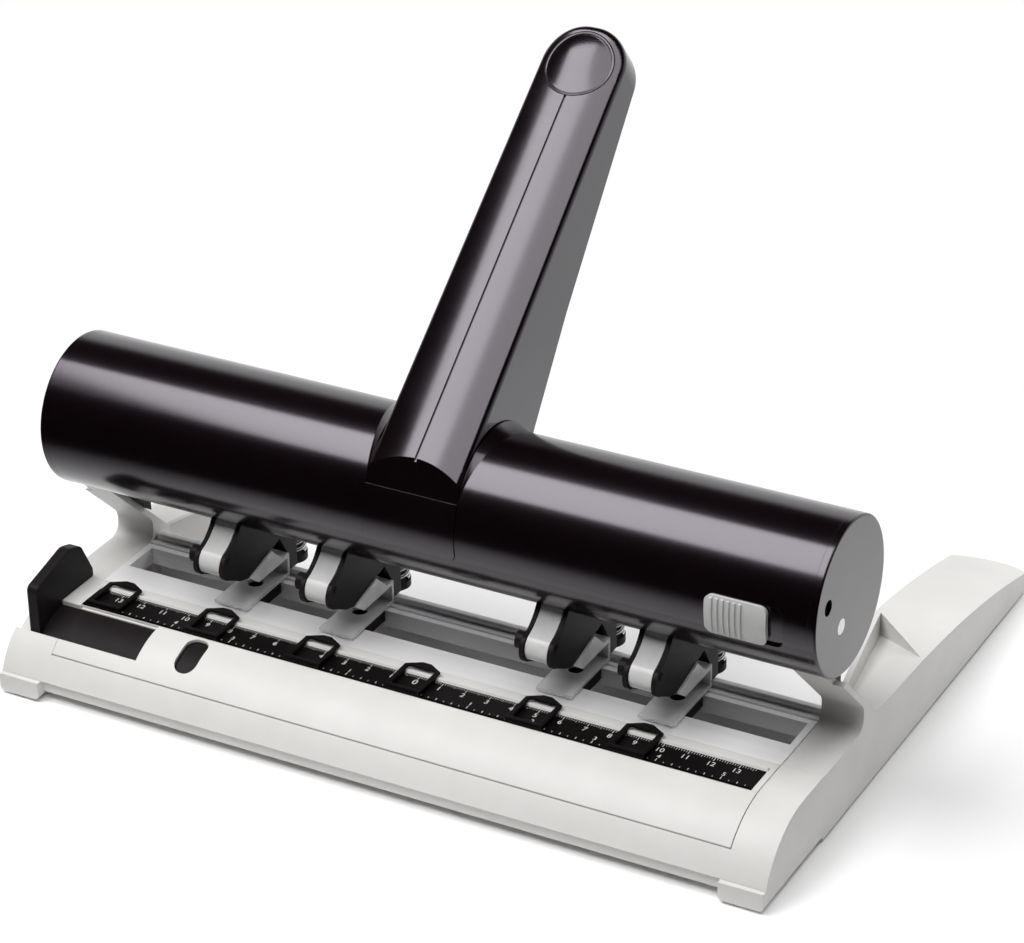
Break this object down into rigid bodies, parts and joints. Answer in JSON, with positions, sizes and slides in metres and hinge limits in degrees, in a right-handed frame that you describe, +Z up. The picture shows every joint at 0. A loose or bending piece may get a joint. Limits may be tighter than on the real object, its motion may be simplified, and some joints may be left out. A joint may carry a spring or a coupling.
{
  "type": "hole punch",
  "caption": "Desktop paper punch: a long lever turns a tube that presses sliding punch heads along a die rail, with a scale, sliding markers and a pull-out paper stop.",
  "frame": {"origin": "middle of the footprint, on the ground", "axes": "+X to the right along the tube, +Y to the rear, +Z up"},
  "size_m": [0.319, 0.25, 0.2309],
  "materials": {
    "grey_body": "fine satin grain",
    "black_plastic": "satin gloss",
    "satin_black": "fine satin grain",
    "inner_black": "matte",
    "scale_black": "satin with white marks",
    "rail_aluminium": "satin along the rail",
    "steel": "bright drawn",
    "clear_plastic": "clear and polished",
    "clip_grey": "satin",
    "rubber_pad": "matte"
  },
  "bodies": {
    "base": {"front_table": "grey_body", "front_panel": "grey_body", "ruler": "scale_black", "right_cheek": "grey_body", "left_cheek": "grey_body", "front_feet": "grey_body", "rubber_pads": "rubber_pad", "die_rail": "rail_aluminium", "chip_pan": "grey_body", "axle": "steel", "right_bracket": "satin_black", "left_bracket": "satin_black"},
    "press": {"tube": "black_plastic", "front_plate": "black_plastic", "right_cap": "satin_black", "left_cap": "satin_black", "press_bar": "black_plastic", "lever": "black_plastic"},
    "lock": {"lock_slide": "clip_grey"},
    "stop": {"paper_stop": "satin_black"},
    "head_1": {"head_frame_1": "satin_black", "paper_guide_1": "clear_plastic", "return_spring_1": "steel"},
    "clip_1": {"release_clip_1": "clip_grey"},
    "punch_1": {"carriage_1": "inner_black", "punch_pin_1": "steel"},
    "head_2": {"head_frame_2": "satin_black", "paper_guide_2": "clear_plastic", "return_spring_2": "steel"},
    "clip_2": {"release_clip_2": "clip_grey"},
    "punch_2": {"carriage_2": "inner_black", "punch_pin_2": "steel"},
    "head_3": {"head_frame_3": "satin_black", "paper_guide_3": "clear_plastic", "return_spring_3": "steel"},
    "clip_3": {"release_clip_3": "clip_grey"},
    "punch_3": {"carriage_3": "inner_black", "punch_pin_3": "steel"},
    "head_4": {"head_frame_4": "satin_black", "paper_guide_4": "clear_plastic", "return_spring_4": "steel"},
    "clip_4": {"release_clip_4": "clip_grey"},
    "punch_4": {"carriage_4": "inner_black", "punch_pin_4": "steel"},
    "marker_slider_1": {"marker_1": "satin_black"},
    "marker_slider_2": {"marker_2": "satin_black"},
    "marker_slider_3": {"marker_3": "satin_black"},
    "marker_slider_4": {"marker_4": "satin_black"},
    "marker_slider_5": {"marker_5": "satin_black"},
    "marker_slider_6": {"marker_6": "satin_black"}
  },
  "joints": [
    {"name": "lever_press", "type": "hinge", "parent": "base", "child": "press", "pos_m": [0, -0.0643, 0.0828], "axis": [-1, 0, 0], "range_deg": [0, 30]},
    {"name": "lock_shift", "type": "slide", "parent": "press", "child": "lock", "axis": [1, 0, 0], "range_m": [0, 0.0054]},
    {"name": "stop_slide", "type": "slide", "parent": "base", "child": "stop", "axis": [-1, 0, 0], "range_m": [0, 0.045]},
    {"name": "head_1_shift", "type": "slide", "parent": "base", "child": "head_1", "axis": [1, 0, 0], "range_m": [-0.0325, 0.0175]},
    {"name": "punch_1_stroke", "type": "slide", "parent": "head_1", "child": "punch_1", "axis": [0, 0, -1], "range_m": [0, 0.0083], "stiffness_N_per_m": 800, "springref_m": -0.005, "deforming": ["return_spring_1"]},
    {"name": "clip_1_release", "type": "hinge", "parent": "head_1", "child": "clip_1", "pos_m": [-0.0875, -0.0811, 0.0548], "axis": [1, 0, 0], "range_deg": [0, 6], "stiffness_Nm_per_rad": 0.03, "springref_deg": -5.73},
    {"name": "head_2_shift", "type": "slide", "parent": "base", "child": "head_2", "axis": [1, 0, 0], "range_m": [-0.0088, 0.0312]},
    {"name": "punch_2_stroke", "type": "slide", "parent": "head_2", "child": "punch_2", "axis": [0, 0, -1], "range_m": [0, 0.0083], "stiffness_N_per_m": 800, "springref_m": -0.005, "deforming": ["return_spring_2"]},
    {"name": "clip_2_release", "type": "hinge", "parent": "head_2", "child": "clip_2", "pos_m": [-0.0412, -0.0811, 0.0548], "axis": [1, 0, 0], "range_deg": [0, 6], "stiffness_Nm_per_rad": 0.03, "springref_deg": -5.73},
    {"name": "head_3_shift", "type": "slide", "parent": "base", "child": "head_3", "axis": [1, 0, 0], "range_m": [-0.0408, 0.0092]},
    {"name": "punch_3_stroke", "type": "slide", "parent": "head_3", "child": "punch_3", "axis": [0, 0, -1], "range_m": [0, 0.0083], "stiffness_N_per_m": 800, "springref_m": -0.005, "deforming": ["return_spring_3"]},
    {"name": "clip_3_release", "type": "hinge", "parent": "head_3", "child": "clip_3", "pos_m": [0.0508, -0.0811, 0.0548], "axis": [1, 0, 0], "range_deg": [0, 6], "stiffness_Nm_per_rad": 0.03, "springref_deg": -5.73},
    {"name": "head_4_shift", "type": "slide", "parent": "base", "child": "head_4", "axis": [1, 0, 0], "range_m": [-0.0123, 0.0277]},
    {"name": "punch_4_stroke", "type": "slide", "parent": "head_4", "child": "punch_4", "axis": [0, 0, -1], "range_m": [0, 0.0083], "stiffness_N_per_m": 800, "springref_m": -0.005, "deforming": ["return_spring_4"]},
    {"name": "clip_4_release", "type": "hinge", "parent": "head_4", "child": "clip_4", "pos_m": [0.0923, -0.0811, 0.0548], "axis": [1, 0, 0], "range_deg": [0, 6], "stiffness_Nm_per_rad": 0.03, "springref_deg": -5.73},
    {"name": "marker_1_shift", "type": "slide", "parent": "base", "child": "marker_slider_1", "axis": [1, 0, 0], "range_m": [-0.0022, 0.0178]},
    {"name": "marker_2_shift", "type": "slide", "parent": "base", "child": "marker_slider_2", "axis": [1, 0, 0], "range_m": [-0.0101, 0.0169]},
    {"name": "marker_3_shift", "type": "slide", "parent": "base", "child": "marker_slider_3", "axis": [1, 0, 0], "range_m": [-0.0113, 0.0227]},
    {"name": "marker_4_shift", "type": "slide", "parent": "base", "child": "marker_slider_4", "axis": [1, 0, 0], "range_m": [-0.004, 0.02]},
    {"name": "marker_5_shift", "type": "slide", "parent": "base", "child": "marker_slider_5", "axis": [1, 0, 0], "range_m": [-0.0145, 0.0155]},
    {"name": "marker_6_shift", "type": "slide", "parent": "base", "child": "marker_slider_6", "axis": [1, 0, 0], "range_m": [-0.0093, 0.0287]}
  ],
  "couplings": [
    {"joint": "punch_1_stroke", "follows": "lever_press", "m_per_rad": 0.0157},
    {"joint": "punch_2_stroke", "follows": "lever_press", "m_per_rad": 0.0157},
    {"joint": "punch_3_stroke", "follows": "lever_press", "m_per_rad": 0.0157},
    {"joint": "punch_4_stroke", "follows": "lever_press", "m_per_rad": 0.0157}
  ]
}
